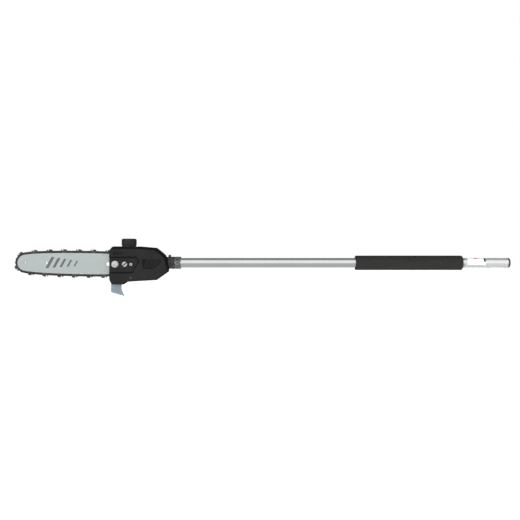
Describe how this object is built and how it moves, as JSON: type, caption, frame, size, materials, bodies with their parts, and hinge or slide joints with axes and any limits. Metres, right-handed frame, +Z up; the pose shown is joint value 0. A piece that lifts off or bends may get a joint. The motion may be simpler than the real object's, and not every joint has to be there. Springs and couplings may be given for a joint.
{
  "type": "pole saw attachment",
  "caption": "Small chainsaw head with guide bar, oil tank and branch hook on a fixed aluminium pole with a foam grip and a plug-in coupler end.",
  "frame": {"origin": "centre of the square drive tip's end face, on the pole's axis, level with the coupler end", "axes": "+X from the saw head along the pole to the coupler end; -Y towards the chain cover; +Z up, towards the oil cap"},
  "size_m": [1.2816, 0.0816, 0.1489],
  "materials": {
    "black_plastic": "glass-filled moulded nylon with a fine spark-eroded grain",
    "cap_plastic": "dark moulded plastic with fine ribs",
    "cast_metal": "die-cast alloy under a wrinkled dark coat",
    "clamp_metal": "dull grey cast clamp",
    "pole_aluminium": "polished drawn tube with long draw lines",
    "foam": "closed-cell foam rubber",
    "bar_steel": "ground and lacquered steel",
    "chain_steel": "dark oiled chain steel with bright cutting edges",
    "bright_steel": "zinc-plated steel",
    "shaft_steel": "turned and hardened steel",
    "hook_steel": "stamped blue-grey zinc-plated sheet",
    "tank_plastic": "translucent natural polyethylene",
    "seal_rubber": "black rubber",
    "label_white": "printed white film",
    "bronze": "sintered bronze"
  },
  "bodies": {
    "head_and_pole": {"head_housing": "black_plastic", "back_cover": "black_plastic", "chain_cover": "black_plastic", "gear_case": "cast_metal", "gear_case_lid": "cast_metal", "bar_pad": "cast_metal", "pole_clamp": "clamp_metal", "pole_tube": "pole_aluminium", "pump_body": "pole_aluminium", "grip_sleeve": "foam", "saw_chain": "chain_steel", "bar_stud": "bright_steel", "tension_bracket": "bright_steel", "tension_bracket_screw": "bright_steel", "clamp_screw": "bright_steel", "hook_screw_1": "bright_steel", "hook_screw_2": "bright_steel", "coupler_rivet_1": "bright_steel", "coupler_rivet_2": "bright_steel", "pinion_bearing_front": "bright_steel", "pinion_bearing_rear": "bright_steel", "output_bearing_near": "bright_steel", "output_bearing_far": "bright_steel", "pinion_circlip": "shaft_steel", "pole_locating_screw": "shaft_steel", "chain_cover_screw": "shaft_steel", "housing_screw_1": "shaft_steel", "housing_screw_2": "shaft_steel", "housing_screw_3": "shaft_steel", "housing_screw_4": "shaft_steel", "branch_hook": "hook_steel", "oil_tank": "tank_plastic", "shaft_bushing_1": "tank_plastic", "shaft_bushing_2": "tank_plastic", "shaft_bushing_3": "tank_plastic", "output_shaft_seal": "seal_rubber", "coupler_end_bushing": "seal_rubber", "insertion_label": "label_white"},
    "drive_line": {"drive_shaft": "shaft_steel", "drive_tip": "bright_steel", "pinion_shaft": "shaft_steel"},
    "output_line": {"output_shaft": "shaft_steel", "crown_gear": "shaft_steel", "pump_worm": "bronze", "sprocket": "shaft_steel", "sprocket_washer": "bright_steel", "sprocket_clip": "shaft_steel"},
    "pump_rotor": {"pump_plunger": "bronze"},
    "guide_bar": {"bar_side_plate_near": "bar_steel", "bar_side_plate_far": "bar_steel", "bar_core_plate": "bar_steel", "nose_bearing_hub": "shaft_steel", "tension_slider": "shaft_steel"},
    "nose_wheel": {"nose_sprocket": "shaft_steel"},
    "tension_input": {"tension_screw": "bright_steel"},
    "tension_rod": {"tension_spindle": "shaft_steel"},
    "cap_seal": {"oil_cap_seal": "seal_rubber"},
    "filler_cap": {"oil_cap": "cap_plastic"},
    "nut_washer": {"bar_nut_washer": "bright_steel"},
    "clamp_nut": {"bar_nut": "bright_steel"}
  },
  "joints": [
    {"name": "drive_spin", "type": "hinge", "parent": "head_and_pole", "child": "drive_line", "pos_m": [-0.9435, 0, 0], "axis": [1, 0, 0], "continuous": true},
    {"name": "output_spin", "type": "hinge", "parent": "head_and_pole", "child": "output_line", "pos_m": [-0.9435, 0, 0], "axis": [0, 1, 0], "continuous": true},
    {"name": "pump_spin", "type": "hinge", "parent": "head_and_pole", "child": "pump_rotor", "pos_m": [-0.9537, 0.0188, 0], "axis": [0, 0, 1], "continuous": true},
    {"name": "bar_slide", "type": "slide", "parent": "head_and_pole", "child": "guide_bar", "axis": [0.9999, 0, -0.0157], "range_m": [0, 0.004]},
    {"name": "nose_spin", "type": "hinge", "parent": "guide_bar", "child": "nose_wheel", "pos_m": [-1.25317, -0.022, 0.00027], "axis": [0, 1, 0], "continuous": true},
    {"name": "tension_turn", "type": "hinge", "parent": "head_and_pole", "child": "tension_input", "pos_m": [-0.9948, -0.0298, -0.00379], "axis": [0, -1, 0], "range_deg": [0, 1440]},
    {"name": "spindle_turn", "type": "hinge", "parent": "head_and_pole", "child": "tension_rod", "pos_m": [-0.9948, -0.0298, -0.00379], "axis": [0.9999, 0, -0.0157], "range_deg": [-1440, 0]},
    {"name": "cap_lift", "type": "slide", "parent": "head_and_pole", "child": "cap_seal", "axis": [0, 0, 1], "range_m": [0, 0.012]},
    {"name": "cap_turn", "type": "hinge", "parent": "cap_seal", "child": "filler_cap", "pos_m": [-0.9947, 0.014, 0.05], "axis": [0, 0, 1], "range_deg": [0, 1080]},
    {"name": "nut_lift", "type": "slide", "parent": "head_and_pole", "child": "nut_washer", "axis": [0, -1, 0], "range_m": [0, 0.00375]},
    {"name": "nut_turn", "type": "hinge", "parent": "nut_washer", "child": "clamp_nut", "pos_m": [-1.0194, -0.042, -0.0034], "axis": [0, -1, 0], "range_deg": [0, 1080]}
  ],
  "couplings": [
    {"joint": "output_spin", "follows": "drive_spin", "ratio": -0.82353},
    {"joint": "pump_spin", "follows": "drive_spin", "ratio": 0.082353},
    {"joint": "nose_spin", "follows": "drive_spin", "ratio": -0.61765},
    {"joint": "tension_turn", "follows": "bar_slide", "rad_per_m": 6283.2},
    {"joint": "spindle_turn", "follows": "bar_slide", "rad_per_m": -6283.2},
    {"joint": "cap_lift", "follows": "cap_turn", "m_per_rad": 0.00063662},
    {"joint": "nut_lift", "follows": "nut_turn", "m_per_rad": 0.00019894}
  ]
}
